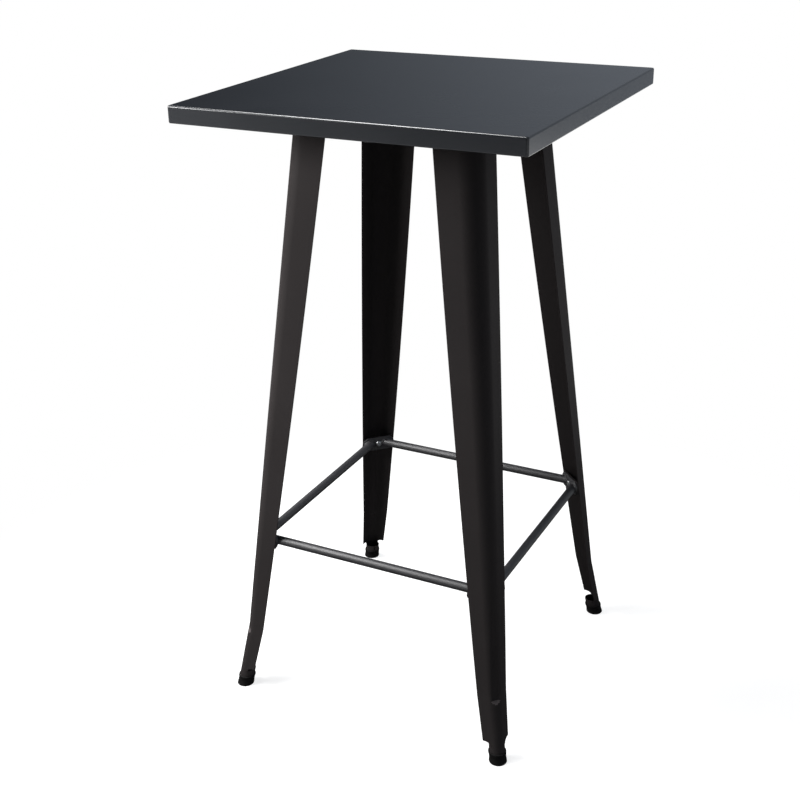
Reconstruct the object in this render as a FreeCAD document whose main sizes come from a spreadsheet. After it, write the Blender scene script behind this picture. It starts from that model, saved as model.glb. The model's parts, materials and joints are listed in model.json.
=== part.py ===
import FreeCAD, Part
import math
import os
import re
import Sketcher

# Pub table in folded and pressed sheet steel.
#
# Frame: millimetres, +Z up, the origin on the floor under the middle of the top.
# A corner piece is drawn once on the corner line +X, so that X is its distance from the
# middle of the table, and is then set round the four corners. A side piece is drawn once
# on the side +X and set round the four sides.

Vector = FreeCAD.Vector
Rotation = FreeCAD.Rotation
Placement = FreeCAD.Placement

UP = Vector(0, 0, 1)
CORNERS = {"front_left": -135, "front_right": -45, "back_right": 45, "back_left": 135}
SIDES = {"right": 0, "back": 90, "left": 180, "front": -90}

# Driving dimensions: name, value, meaning.
SIZES = [
    ("table_height", 1100.0, "floor to the top face"),
    ("top_side", 600.0, "side of the square top"),
    ("top_sheet", 1.2, "sheet of the top"),
    ("skirt_height", 28.0, "depth of the folded skirt"),
    ("lip_width", 12.0, "lip turned in at the foot of the skirt"),
    ("top_corner_round", 7.0, "corner radius of the top in plan"),
    ("top_edge_round", 3.0, "outer bend radius along the edge of the top"),
    ("leg_sheet", 1.5, "sheet of the legs"),
    ("leg_top_width", 107.0, "leg across both flanges at its top end"),
    ("leg_top_reach", 216.0, "middle of the table to the leg's corner, at its top end"),
    ("leg_top_round", 36.0, "corner radius of the leg section at its top end"),
    ("leg_bow", 4.8, "extra width of the leg at mid height, beyond a straight taper"),
    ("kick_height", 128.0, "height at which the leg kicks outwards"),
    ("kick_width", 54.5, "leg across both flanges at the kick"),
    ("kick_reach", 352.5, "middle of the table to the leg's corner, at the kick"),
    ("kick_round", 19.0, "corner radius of the leg section at the kick"),
    ("flange_end", 60.0, "height at which the flanges stop"),
    ("flange_end_width", 48.0, "leg across both flanges where they stop"),
    ("notch_round", 7.0, "radius in the notch between flange and foot tube"),
    ("foot_reach", 368.0, "middle of the table to the middle of a foot, on the floor"),
    ("foot_tube", 28.0, "diameter of the rolled foot tube"),
    ("groove_top", 330.0, "height at which the pressed groove fades out"),
    ("groove_foot", 4.0, "height above the kick at which the pressed groove ends"),
    ("groove_round", 16.0, "radius of the pressed groove"),
    ("groove_depth", 3.5, "depth of the pressed groove at the kick"),
    ("rubber_height", 20.0, "height of a rubber foot"),
    ("rubber_floor", 4.0, "rubber under the end of the foot tube"),
    ("rubber_wall", 1.8, "wall of the rubber foot"),
    ("rubber_fit", 0.1, "gap between the rubber foot and the tube, all round"),
    ("rail_sheet", 2.5, "sheet of the frame rails"),
    ("rail_height", 38.0, "depth of a frame rail under the top"),
    ("rail_flange", 25.0, "width of a frame rail's top flange"),
    ("rail_gap", 0.1, "paint between a rail and a leg flange"),
    ("mitre_gap", 0.2, "gap between two rails where their flanges meet at a corner"),
    ("bend_room", 1.0, "room between a rail's end and the bend of the leg beside it"),
    ("rib_sheet", 1.0, "sheet of the stiffening ribs"),
    ("rib_height", 12.0, "depth of a stiffening rib"),
    ("rib_crown", 26.0, "width of a rib's crown"),
    ("rib_width", 52.0, "width of a rib over its two flanges"),
    ("rib_inset", 72.0, "edge of the top to the middle of a rib"),
    ("rib_gap", 2.0, "gap between the end of a short rib and the long rib beside it"),
    ("footrest_height", 310.0, "floor to the middle of the footrest rods"),
    ("rod_diameter", 16.0, "footrest rod"),
    ("plate_width", 64.0, "footrest corner plate, across"),
    ("plate_height", 28.0, "footrest corner plate and bridge plate, upright"),
    ("plate_sheet", 3.0, "footrest corner plate, thickness"),
    ("plate_round", 4.0, "corner radius of the footrest corner plate"),
    ("bridge_sheet", 2.5, "bridge plate across the leg, thickness"),
    ("thread", 6.0, "thread diameter of the footrest screws"),
    ("thread_gap", 0.05, "gap between thread and nut, all round"),
    ("hole_gap", 0.3, "gap between thread and plain hole, all round"),
    ("head_width", 12.0, "diameter of a button head"),
    ("head_height", 3.3, "height of a button head"),
    ("head_slope_wide", 3.2, "button head, how far its slope reaches in from the side"),
    ("head_slope_high", 2.3, "button head, how far its slope reaches down from the crown"),
    ("head_room", 0.4, "room between a button head and the rods beside it"),
    ("socket_width", 4.0, "hex socket across its flats"),
    ("socket_depth", 2.0, "depth of the hex socket"),
    ("nut_width", 10.0, "nut across its flats"),
    ("nut_height", 5.0, "thickness of a nut"),
    ("screw_length", 14.0, "footrest screw under its head"),
]

# A leg's flange edge runs through points at these shares of the leg's run from the kick to
# the top end. The last stands past the end, which is then cut level.
EDGE_SHARES = [0.0, 0.34, 0.67, 1.02]
# Length of the groove's punch, as a share of the groove.
GROOVE_OVERRUN = 1.3
# How far a leg's blank runs past its flange edges, and its hollow past the blank.
OVERCUT = 4.0

# Places worked out from the sizes: name, formula.
PLACES = [
    ("sheet_under", "table_height - top_sheet"),
    ("pan_bottom", "table_height - skirt_height"),
    ("leg_top", "sheet_under - rail_sheet"),
    ("leg_rise", "leg_top - kick_height"),
    ("foot_slope", "(foot_reach + foot_tube / 2 - kick_reach) / kick_height"),
    ("rim_height", "flange_end - notch_round"),
    ("rim_share", "(kick_height - rim_height) / (kick_height - flange_end)"),
    ("rim_reach", "kick_reach + (kick_height - rim_height) * foot_slope"),
    ("rim_bend", "foot_tube / 2"),
    ("rim_span", "kick_width + (flange_end_width - kick_width) * rim_share"),
    ("rim_edge_x", "rim_reach + (sqrt(2) - 1) * rim_bend - rim_span / 2"),
    ("rim_lean", "0 deg"),
    ("rim_half_angle", "45 deg"),
    ("rim_x", "rim_reach - rim_bend"),
    ("rim_z", "rim_height"),
    ("leg_draw", "kick_reach - leg_top_reach"),
    ("leg_run", "sqrt(leg_rise ^ 2 + leg_draw ^ 2)"),
    ("cone_angle", "asin((leg_top_round - kick_round) / leg_run)"),
    ("bend_run", "leg_run * cos(cone_angle)"),
    ("bend_lean", "atan(leg_draw / leg_rise) + cone_angle"),
    ("bend_half", "atan(cos(bend_lean)) + asin(tan(cone_angle) * sin(bend_lean)"
                  " / sqrt(1 + cos(bend_lean) ^ 2))"),
    ("bend_x", "kick_reach - kick_round * cos(bend_lean)"),
    ("bend_z", "kick_height - kick_round * sin(bend_lean)"),
    ("face_sine", "cos(cone_angle) * cos(bend_half) * sin(bend_lean)"
                  " - sin(cone_angle) * cos(bend_lean)"),
    ("face_slope", "-face_sine / (sqrt(2) * cos(cone_angle) * sin(bend_half))"),
    ("face_kick", "(bend_x + kick_round * (cos(bend_half) * cos(bend_lean) + sin(bend_half)))"
                  " / sqrt(2)"),
    ("face_kick_z", "bend_z + kick_round * cos(bend_half) * sin(bend_lean)"),
    ("face_top", "face_kick + face_slope * (leg_top - face_kick_z)"),
    ("rail_bottom", "sheet_under - rail_height"),
    ("rail_top_x", "face_top + face_slope * (sheet_under - leg_top) - leg_sheet - rail_gap"),
    ("rail_bottom_x", "face_top + face_slope * (rail_bottom - leg_top) - leg_sheet - rail_gap"),
    ("rail_half", "face_top - leg_top_round - bend_room"),
    ("rail_corner", "(leg_top_reach - bend_room) * sqrt(2)"),
    ("rib_middle", "top_side / 2 - rib_inset"),
    ("rib_long_half", "top_side / 2 - lip_width"),
    ("rib_short_half", "rib_middle - rib_width / 2 - rib_gap"),
    ("plate_top", "footrest_height + plate_height / 2"),
    ("plate_share", "(plate_top - bend_z) / (bend_run * cos(bend_lean))"),
    ("plate_round_there", "kick_round + plate_share * (leg_top_round - kick_round)"),
    ("plate_taper", "kick_width + plate_share * (leg_top_width - kick_width)"),
    ("plate_bow", "4 * leg_bow * plate_share * (1 - plate_share)"),
    ("seat_reach", "bend_x - plate_share * bend_run * sin(bend_lean)"
                   " - cos(bend_lean) * ((plate_taper + plate_bow) / 2 - sqrt(2) * plate_round_there)"),
    ("plate_face", "seat_reach - plate_sheet"),
    ("rod_corner", "plate_face + (rod_diameter + head_width / sqrt(2)) / sqrt(2) + head_room"),
    ("rod_reach", "rod_corner / sqrt(2)"),
]
for place, share in (("kick", EDGE_SHARES[0]), ("head", EDGE_SHARES[-1])):
    PLACES += [
        (place + "_x", "bend_x - %g * bend_run * sin(bend_lean)" % share),
        (place + "_z", "bend_z + %g * bend_run * cos(bend_lean)" % share),
        (place + "_lean", "bend_lean"),
        (place + "_half_angle", "bend_half"),
        (place + "_bend", "kick_round + %g * (leg_top_round - kick_round)" % share),
        (place + "_span", "kick_width + %g * (leg_top_width - kick_width)" % share),
    ]
for step, share in enumerate(EDGE_SHARES):
    bow = 4 * share * (1 - share)
    PLACES += [
        ("edge_%d_half" % step, "(kick_width + %g * (leg_top_width - kick_width)"
                                " + %g * leg_bow) / 2" % (share, bow)),
        ("edge_%d_out" % step, "(kick_round + %g * (leg_top_round - kick_round)) / cos(bend_half)"
                               " - edge_%d_half * tan(bend_half)" % (share, step)),
        ("edge_%d_x" % step, "bend_x - %g * bend_run * sin(bend_lean)"
                             " + edge_%d_out * cos(bend_lean)" % (share, step)),
        ("edge_%d_z" % step, "bend_z + %g * bend_run * cos(bend_lean)"
                             " + edge_%d_out * sin(bend_lean)" % (share, step)),
    ]

SIZE_NAMES = {entry[0] for entry in SIZES}
PLACE_NAMES = {entry[0] for entry in PLACES}

doc = FreeCAD.newDocument("PubTable")


def linked(formula):
    """The formula with each size or place as a reference to its sheet."""
    def reference(word):
        name = word.group(0)
        if name in SIZE_NAMES:
            return "Sizes." + name
        if name in PLACE_NAMES:
            return "Places." + name
        return name
    return re.sub(r"[a-z][a-z_0-9]*", reference, formula)


def write_sheets():
    """One sheet with the driving sizes as numbers, and one with what follows from them."""
    sizes = doc.addObject("Spreadsheet::Sheet", "Sizes")
    for row, (name, value, meaning) in enumerate(SIZES, 1):
        sizes.set("A%d" % row, meaning)
        sizes.set("B%d" % row, str(value))
        sizes.setAlias("B%d" % row, name)
    places = doc.addObject("Spreadsheet::Sheet", "Places")
    for row, (name, formula) in enumerate(PLACES, 1):
        places.setAlias("B%d" % row, name)
        places.set("A%d" % row, formula)
        places.set("B%d" % row, "=" + linked(formula))
    doc.recompute()
    return sizes, places


sizes, places = write_sheets()


def size(name):
    """The present value of a size or place, as a number."""
    return float(getattr(sizes if name in SIZE_NAMES else places, name))


def bind(thing, **formulas):
    """Bind properties of an object to formulas."""
    for name, formula in formulas.items():
        thing.setExpression(name, linked(formula))


def measure(sketch, kind, name, formula, *where):
    """Add a named driving constraint and bind it to a formula."""
    index = sketch.addConstraint(Sketcher.Constraint(kind, *where))
    sketch.renameConstraint(index, name)
    sketch.setExpression("Constraints." + name, linked(formula))


# Sketches ---------------------------------------------------------------------------------

def free_sketch(name, placement=Placement()):
    """A sketch that belongs to no body."""
    sketch = doc.addObject("Sketcher::SketchObject", name)
    sketch.Placement = placement
    return sketch


def body_sketch(body, name, height="0"):
    """A sketch in a body, level, at a height above the body's origin."""
    sketch = body.newObject("Sketcher::SketchObject", name)
    level = [plane for plane in body.Origin.OriginFeatures if plane.Role == "XY_Plane"][0]
    sketch.AttachmentSupport = [(level, "")]
    sketch.MapMode = "FlatFace"
    sketch.setExpression(".AttachmentOffset.Base.z", linked(height))
    return sketch


def polygon(sketch, points):
    """A closed outline, each of whose corners is bound to a pair of formulas."""
    count = len(points)
    rough = [Rotation(UP, 360.0 * i / count).multVec(Vector(10, 0, 0)) for i in range(count)]
    for i in range(count):
        sketch.addGeometry(Part.LineSegment(rough[i], rough[(i + 1) % count]), False)
    for i in range(count):
        sketch.addConstraint(Sketcher.Constraint("Coincident", i, 2, (i + 1) % count, 1))
    for i, (across, along) in enumerate(points):
        measure(sketch, "DistanceX", "x%d" % i, across, -1, 1, i, 1, rough[i].x)
        measure(sketch, "DistanceY", "y%d" % i, along, -1, 1, i, 1, rough[i].y)


def circle(sketch, radius):
    """A circle round the sketch's origin."""
    sketch.addGeometry(Part.Circle(Vector(0, 0, 0), UP, 5), False)
    sketch.addConstraint(Sketcher.Constraint("Coincident", 0, 3, -1, 1))
    measure(sketch, "Radius", "radius", radius, 0, 5.0)


def hexagon(sketch, flats):
    """A hexagon round the sketch's origin, given across its flats."""
    corner = "(%s) / sqrt(3)" % flats
    half = "(%s) / 2" % flats
    polygon(sketch, [
        (corner, "0"), (corner + " / 2", half), ("-" + corner + " / 2", half),
        ("-" + corner, "0"), ("-" + corner + " / 2", "-" + half), (corner + " / 2", "-" + half),
    ])


def rectangle(sketch, half_x, half_y):
    """A rectangle round the sketch's origin."""
    polygon(sketch, [(half_x, half_y), ("-(%s)" % half_x, half_y),
                     ("-(%s)" % half_x, "-(%s)" % half_y), (half_x, "-(%s)" % half_y)])


# Features ---------------------------------------------------------------------------------

def new_body(name):
    return doc.addObject("PartDesign::Body", name)


def pad(body, sketch, length, down=False):
    feature = body.newObject("PartDesign::Pad", "Pad")
    feature.Profile = sketch
    feature.Reversed = down
    bind(feature, Length=length)
    doc.recompute()
    return feature


def pocket(body, sketch, length, up=False):
    feature = body.newObject("PartDesign::Pocket", "Pocket")
    feature.Profile = sketch
    feature.Reversed = up
    before = body.Shape.Volume
    bind(feature, Length=length)
    doc.recompute()
    if body.Shape.Volume >= before:
        raise RuntimeError(body.Label + ": a pocket cuts nothing")
    return feature


def edge_names(base, picked):
    """The names of those edges of a feature for which picked() is true."""
    return ["Edge%d" % (i + 1) for i, edge in enumerate(base.Shape.Edges) if picked(edge)]


def round_edges(body, base, picked, radius):
    """Fillet those edges of a feature for which picked() is true."""
    feature = body.newObject("PartDesign::Fillet", "Round")
    feature.Base = (base, edge_names(base, picked))
    bind(feature, Radius=radius)
    doc.recompute()
    return feature


def upright_edges(half_x, half_y):
    """A test for upright edges at the corners of a rectangle round the origin."""
    def picked(edge):
        box = edge.BoundBox
        return (box.ZLength > 1e-4 and abs(max(box.XMax, -box.XMin) - half_x) < 1e-4
                and abs(max(box.YMax, -box.YMin) - half_y) < 1e-4)
    return picked


def level_edges(height):
    """A test for edges that lie level at a height."""
    def picked(edge):
        box = edge.BoundBox
        return abs(box.ZMin - height) < 1e-4 and abs(box.ZMax - height) < 1e-4
    return picked


def loft(name, sections):
    """A solid through level sections, with straight rulings from each to the next."""
    feature = doc.addObject("Part::Loft", name)
    feature.Sections = sections
    feature.Solid = True
    feature.Ruled = True
    return feature


def fuse(name, *pieces):
    feature = doc.addObject("Part::MultiFuse", name)
    feature.Shapes = list(pieces)
    feature.Refine = False
    return feature


def cut(name, base, tool):
    feature = doc.addObject("Part::Cut", name)
    feature.Base = base
    feature.Tool = tool
    feature.Refine = False
    return feature


def common(name, first, second):
    feature = doc.addObject("Part::MultiCommon", name)
    feature.Shapes = [first, second]
    feature.Refine = False
    return feature


def bar(name, radius, length, start, axis):
    """A cylinder from a point along an axis."""
    feature = doc.addObject("Part::Cylinder", name)
    bind(feature, Radius=radius, Height=length)
    feature.Placement = Placement(start, Rotation(UP, axis))
    return feature


def block(name, low, high):
    """A box whose lowest and highest corners are bound to formulas."""
    feature = doc.addObject("Part::Box", name)
    for side, (begin, end) in zip(("Length", "Width", "Height"), zip(low, high)):
        bind(feature, **{side: "(%s) - (%s)" % (end, begin)})
    for axis, begin in zip("xyz", low):
        feature.setExpression(".Placement.Base." + axis, linked(begin))
    return feature


# What is drawn once is put in the model by a compound with a placement of its own, and
# sub_parts lists the compounds that are the table's pieces.

sub_parts = []


def placed(name, pieces, placement=Placement()):
    group = doc.addObject("Part::Compound", name)
    group.Links = list(pieces)
    group.Placement = placement
    return group


def turned(angle):
    """A turn about the middle line of the table."""
    return Placement(Vector(0, 0, 0), Rotation(UP, angle))


def sub_part(name, pieces, turn=0):
    group = placed(name, pieces, turned(turn))
    group.Label = name
    sub_parts.append(group)


def at_corners(name, pieces):
    for corner, turn in CORNERS.items():
        sub_part("%s_%s" % (name, corner), pieces, turn)


def group_at_corners(name, piece):
    """Four alike small pieces, one a corner, as one part of four solids."""
    sub_part(name, [placed("%s_%s" % (name, corner), [piece], turned(turn))
                    for corner, turn in CORNERS.items()])


def at_sides(name, pieces):
    for side, turn in SIDES.items():
        sub_part("%s_%s" % (name, side), pieces, turn)


# Table top --------------------------------------------------------------------------------

def square_slab(name, half, bottom, height, corner):
    """A square slab with rounded upright corners: its body and its last feature."""
    body = new_body(name)
    outline = body_sketch(body, name + "Outline", bottom)
    rectangle(outline, half, half)
    blank = pad(body, outline, height)
    side = body.Shape.BoundBox.XMax
    return body, round_edges(body, blank, upright_edges(side, side), corner)


def make_table_top():
    """A square pan folded from one sheet, its skirt turned in to a lip all round."""
    blank, corners = square_slab("TopBlank", "top_side / 2", "pan_bottom", "skirt_height",
                                 "top_corner_round")
    round_edges(blank, corners, level_edges(size("table_height")), "top_edge_round")
    hollow, _ = square_slab("TopHollow", "top_side / 2 - top_sheet", "pan_bottom + top_sheet",
                            "skirt_height - 2 * top_sheet", "top_corner_round - top_sheet")
    opening = "top_side / 2 - top_sheet - lip_width"
    mouth = block("TopMouth", ("-(%s)" % opening, "-(%s)" % opening, "pan_bottom"),
                  (opening, opening, "sheet_under"))
    sub_part("table_top", [cut("TopPan", blank, fuse("TopInside", hollow, mouth))])


# Legs -------------------------------------------------------------------------------------

def leg_section(name, place, inset, past):
    """The section of a leg, square to its bend's axis and filled across its open side.

    The sketch's origin is on the axis. inset moves the section in by the sheet, and past
    runs it out of the leg's open side.
    """
    inset_now = size(inset) if inset != "0" else 0.0
    radius = size(place + "_bend") - inset_now
    half = size(place + "_span") / 2 + past
    angle = math.radians(size(place + "_half_angle"))
    touch = Vector(radius * math.cos(angle), radius * math.sin(angle), 0)
    run = (half - touch.y) / math.cos(angle)
    left = Vector(touch.x - run * math.sin(angle), half, 0)
    right = Vector(left.x, -half, 0)

    sketch = free_sketch(name, Placement(Vector(0, 0, 0), Rotation(Vector(0, 1, 0), 1)))
    bind(sketch, **{".Placement.Base.x": place + "_x", ".Placement.Base.z": place + "_z",
                    ".Placement.Rotation.Angle": "-" + place + "_lean"})
    bend = Part.Arc(touch, Vector(radius, 0, 0), Vector(touch.x, -touch.y, 0))
    sketch.addGeometry(Part.LineSegment(left, touch), False)
    sketch.addGeometry(bend, False)
    sketch.addGeometry(Part.LineSegment(Vector(touch.x, -touch.y, 0), right), False)
    sketch.addGeometry(Part.LineSegment(right, left), False)
    bend_left = [end for end in (1, 2) if sketch.getPoint(1, end).y > 0][0]
    sketch.addConstraint(Sketcher.Constraint("Tangent", 0, 2, 1, bend_left))
    sketch.addConstraint(Sketcher.Constraint("Tangent", 1, 3 - bend_left, 2, 1))
    sketch.addConstraint(Sketcher.Constraint("Coincident", 2, 2, 3, 1))
    sketch.addConstraint(Sketcher.Constraint("Coincident", 3, 2, 0, 1))
    sketch.addConstraint(Sketcher.Constraint("Coincident", 1, 3, -1, 1))
    sketch.addConstraint(Sketcher.Constraint("Symmetric", 0, 1, 2, 2, -1))
    measure(sketch, "Radius", "bend", "%s_bend - (%s)" % (place, inset), 1, radius)
    measure(sketch, "DistanceX", "touch", "(%s_bend - (%s)) * cos(%s_half_angle)"
            % (place, inset, place), -1, 1, 0, 2, touch.x)
    measure(sketch, "DistanceY", "half", "%s_span / 2 + %g" % (place, past), -1, 1, 0, 1, half)
    return sketch


def leg_solid(name, inset, past):
    """The leg's outer form, or with an inset its hollow, from the tube's rim past the top."""
    return loft(name, [leg_section(name + place.title(), place, inset, past)
                       for place in ("rim", "kick", "head")])


def leg_trim():
    """What stays of a leg's blank: the space outside its flange edges, up to its top end."""
    side = free_sketch("LegTrimOutline", Placement(Vector(0, 0, 0), Rotation(Vector(1, 0, 0), 90)))
    edges = [("edge_%d_x" % step, "edge_%d_z" % step) for step in range(len(EDGE_SHARES))]
    far = "foot_reach + foot_tube"
    polygon(side, [("rim_edge_x", "rim_height")] + edges + [(far, edges[-1][1]), (far, "rim_height")])
    trim = doc.addObject("Part::Extrusion", "LegTrim")
    trim.Base = side
    trim.DirMode = "Custom"
    trim.Dir = Vector(0, 1, 0)
    trim.Solid = True
    bind(trim, LengthFwd="leg_top_width", LengthRev="leg_top_width")
    level = block("LegLevel", ("0", "-leg_top_width", "0"), (far, "leg_top_width", "leg_top"))
    return common("LegTrimLevel", trim, level)


def foot_ring(name, height, radius):
    """A level circle round the middle line of the foot."""
    ring = doc.addObject("Part::Circle", name)
    bind(ring, Radius=radius)
    ring.setExpression(".Placement.Base.x", linked("foot_reach - foot_slope * (%s)" % height))
    ring.setExpression(".Placement.Base.z", linked(height))
    return ring


def foot_form(name, steps):
    """A slanting round form through level circles, given as heights and radii."""
    rings = [foot_ring("%sRing%d" % (name, i), *step) for i, step in enumerate(steps)]
    return loft(name, rings)


def groove_tool(name, extra):
    """The punch of the pressed groove: a bar with a round end, sinking towards the kick."""
    rise = size("leg_rise")
    lean = (size("leg_top_reach") - size("kick_reach")) / rise
    outward = Vector(1, 0, -lean).normalize()
    radius, depth = size("groove_round"), size("groove_depth")
    end_height = (radius ** 2 - (radius - depth) ** 2) ** 0.5

    def on_spine(height):
        return Vector(size("kick_reach") + lean * (height - size("kick_height")), 0, height)

    foot = size("kick_height") + size("groove_foot")
    low = on_spine(foot + end_height) + outward * (radius - depth)
    high = on_spine(size("groove_top")) + outward * radius
    axis = (high - low).normalize()
    shaft = doc.addObject("Part::Cylinder", name + "Shaft")
    bind(shaft, Radius="groove_round + " + extra)
    shaft.Height = GROOVE_OVERRUN * (high - low).Length
    shaft.Placement = Placement(low, Rotation(UP, axis))
    end = doc.addObject("Part::Sphere", name + "End")
    bind(end, Radius="groove_round + " + extra)
    end.Placement = Placement(low, Rotation(UP, axis))
    return fuse(name, shaft, end)


def make_legs():
    """One pressing: tapered right-angle section, groove, kick, notches and rolled foot."""
    outer = common("LegOuter", leg_solid("LegBlank", "0", OVERCUT), leg_trim())
    hollow = leg_solid("LegHollow", "leg_sheet", 2 * OVERCUT)
    wall = cut("LegWall", outer, hollow)
    punch = groove_tool("GroovePunch", "0")
    die = groove_tool("GrooveDie", "leg_sheet")
    pressed = common("GroovePressed", cut("GrooveSkin", die, punch), outer)
    grooved = fuse("LegPressed", cut("LegGrooved", wall, punch), pressed)

    notches = []
    for hand, side in ((1, "Left"), (-1, "Right")):
        near = "foot_tube / 2 + notch_round"
        far = "flange_end_width"
        spans = (near, far) if hand > 0 else ("-" + far, "-(%s)" % near)
        notches.append(block("Notch" + side, ("kick_reach - flange_end_width", spans[0], "0"),
                             ("foot_reach + foot_tube", spans[1], "flange_end")))
        centre = size("foot_tube") / 2 + size("notch_round")
        start = Vector(size("kick_reach") - size("flange_end_width"), hand * centre,
                       size("rim_height"))
        notches.append(bar("NotchRound" + side, "notch_round", "2 * flange_end_width",
                           start, Vector(1, 0, 0)))
    notched = cut("LegNotched", grooved, fuse("Notches", *notches))

    radius = "foot_tube / 2"
    tube = cut("FootTube",
               foot_form("TubeOuter", [("rubber_floor", radius), ("rim_height", radius)]),
               foot_form("TubeBore", [("rubber_floor", radius + " - leg_sheet"),
                                      ("rim_height", radius + " - leg_sheet")]))

    at_corners("leg", [fuse("Leg", notched, tube)])
    return hollow


def make_rubber_feet():
    """A cup that leans with the foot tube and stands level on the floor."""
    bore = "foot_tube / 2 + rubber_fit"
    wall = bore + " + rubber_wall"
    cup = foot_form("Cup", [("0", wall), ("rubber_height", wall)])
    hollow = foot_form("CupBore", [("rubber_floor", bore), ("rubber_height", bore)])
    group_at_corners("rubber_feet", cut("RubberCup", cup, hollow))


# Frame under the top ----------------------------------------------------------------------

def make_frame_rails():
    """Angle sections under the sheet, their webs slanted to lie against the leg flanges."""
    upright = Placement(Vector(0, 0, 0), Rotation(Vector(1, 0, 0), 90))
    profile = free_sketch("RailWebProfile", upright)
    polygon(profile, [
        ("rail_top_x", "sheet_under"), ("rail_top_x - rail_sheet", "sheet_under"),
        ("rail_bottom_x - rail_sheet", "rail_bottom"), ("rail_bottom_x", "rail_bottom"),
    ])
    web = doc.addObject("Part::Extrusion", "RailWeb")
    web.Base = profile
    web.DirMode = "Custom"
    web.Dir = Vector(0, 1, 0)
    web.Solid = True
    bind(web, LengthFwd="rail_half", LengthRev="rail_half")

    outline = free_sketch("RailFlangeOutline")
    outline.setExpression(".Placement.Base.z", linked("leg_top"))
    inner = "rail_top_x - rail_flange"
    tip = "rail_corner - rail_top_x"
    polygon(outline, [
        (inner, "mitre_gap / 2 - (%s)" % inner),
        ("rail_corner / 2", "mitre_gap / 2 - rail_corner / 2"),
        ("rail_top_x", "-(%s)" % tip), ("rail_top_x", tip),
        ("rail_corner / 2", "rail_corner / 2 - mitre_gap / 2"),
        (inner, "%s - mitre_gap / 2" % inner),
    ])
    flange = doc.addObject("Part::Extrusion", "RailFlange")
    flange.Base = outline
    flange.DirMode = "Custom"
    flange.Dir = UP
    flange.Solid = True
    bind(flange, LengthFwd="rail_sheet")

    at_sides("frame_rail", [fuse("Rail", web, flange)])


def make_ribs():
    """Hat sections welded under the sheet: two long ones, and two short ones between."""
    half, crown, sheet = "rib_width / 2", "rib_crown / 2", "rib_sheet"
    top, low = "sheet_under", "sheet_under - rib_height"
    right = [(half, top), (half, "%s - %s" % (top, sheet)),
             (crown, "%s - %s" % (top, sheet)), (crown, low)]
    inner = [("%s - %s" % (crown, sheet), "%s + %s" % (low, sheet)),
             ("%s - %s" % (crown, sheet), top)]

    def mirrored(points):
        return [("-(%s)" % across, up) for across, up in reversed(points)]

    upright = Placement(Vector(0, 0, 0), Rotation(Vector(1, 0, 0), 90))
    for name, reach, turns in (("Long", "rib_long_half", ("right", "left")),
                               ("Short", "rib_short_half", ("front", "back"))):
        profile = free_sketch("Rib%sProfile" % name, upright)
        polygon(profile, right + mirrored(right) + mirrored(inner) + inner)
        rib = doc.addObject("Part::Extrusion", "Rib" + name)
        rib.Base = profile
        rib.DirMode = "Custom"
        rib.Dir = Vector(0, 1, 0)
        rib.Solid = True
        bind(rib, LengthFwd=reach, LengthRev=reach)
        shifted = placed("Rib%sShifted" % name, [rib])
        shifted.setExpression(".Placement.Base.x", linked("rib_middle"))
        for side in turns:
            sub_part("top_rib_" + side, [shifted], SIDES[side])


# Footrest ---------------------------------------------------------------------------------

def make_bridge_plates(hollow):
    """A flat plate across each leg, its ends following the inside of the flanges."""
    low = "footrest_height - plate_height / 2"
    slab = block("BridgeSlab", ("seat_reach", "-leg_top_width", low),
                 ("seat_reach + bridge_sheet", "leg_top_width", "plate_top"))
    plate = common("BridgeBlank", slab, hollow)
    start = Vector(size("seat_reach") - 1, 0, size("footrest_height"))
    hole = bar("BridgeHole", "thread / 2 + hole_gap", "2 * bridge_sheet", start, Vector(1, 0, 0))
    at_corners("bridge_plate", [cut("Bridge", plate, hole)])


def make_footrest_plates():
    """The upright plate on which two rods end, with the screw hole between them."""
    body = new_body("CornerPlate")
    outline = body_sketch(body, "CornerPlateOutline")
    rectangle(outline, "plate_height / 2", "plate_width / 2")
    blank = pad(body, outline, "plate_sheet")
    upright = upright_edges(size("plate_height") / 2, size("plate_width") / 2)
    round_edges(body, blank, upright, "plate_round")
    hole = body_sketch(body, "CornerPlateHole")
    circle(hole, "thread / 2 + hole_gap")
    pocket(body, hole, "plate_sheet", up=True)
    stood = placed("CornerPlateStood", [body],
                   Placement(Vector(size("plate_face"), 0, size("footrest_height")),
                             Rotation(Vector(0, 1, 0), 90)))
    at_corners("footrest_plate", [stood])


def make_footrest_rods():
    """Round rods between the corner plates, both ends mitred to seat on them."""
    long_rod = doc.addObject("Part::Cylinder", "RodBar")
    bind(long_rod, Radius="rod_diameter / 2", Height="2 * rod_reach")
    long_rod.Placement = Placement(Vector(0, 0, 0), Rotation(Vector(1, 0, 0), -90))
    for axis, formula in (("x", "rod_reach"), ("y", "-rod_reach"), ("z", "footrest_height")):
        long_rod.setExpression(".Placement.Base." + axis, linked(formula))
    between = block("RodSpan", ("-plate_face", "-plate_face", "footrest_height - rod_diameter"),
                    ("plate_face", "plate_face", "footrest_height + rod_diameter"))
    square = placed("RodSpanTurned", [between], turned(45))
    at_sides("footrest_rod", [common("Rod", long_rod, square)])


def make_screw():
    """A button-head screw, its head above the origin and its shank below."""
    body = new_body("Screw")
    head = body_sketch(body, "ScrewHead")
    circle(head, "head_width / 2")
    disc = pad(body, head, "head_height")
    slope = body.newObject("PartDesign::Chamfer", "Slope")
    slope.Base = (disc, edge_names(disc, level_edges(size("head_height"))))
    slope.ChamferType = "Two distances"
    bind(slope, Size="head_slope_high", Size2="head_slope_wide")
    doc.recompute()
    socket = body_sketch(body, "ScrewSocket", "head_height")
    hexagon(socket, "socket_width")
    pocket(body, socket, "socket_depth")
    shank = body_sketch(body, "ScrewShank")
    circle(shank, "thread / 2")
    pad(body, shank, "screw_length", down=True)
    return body


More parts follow.
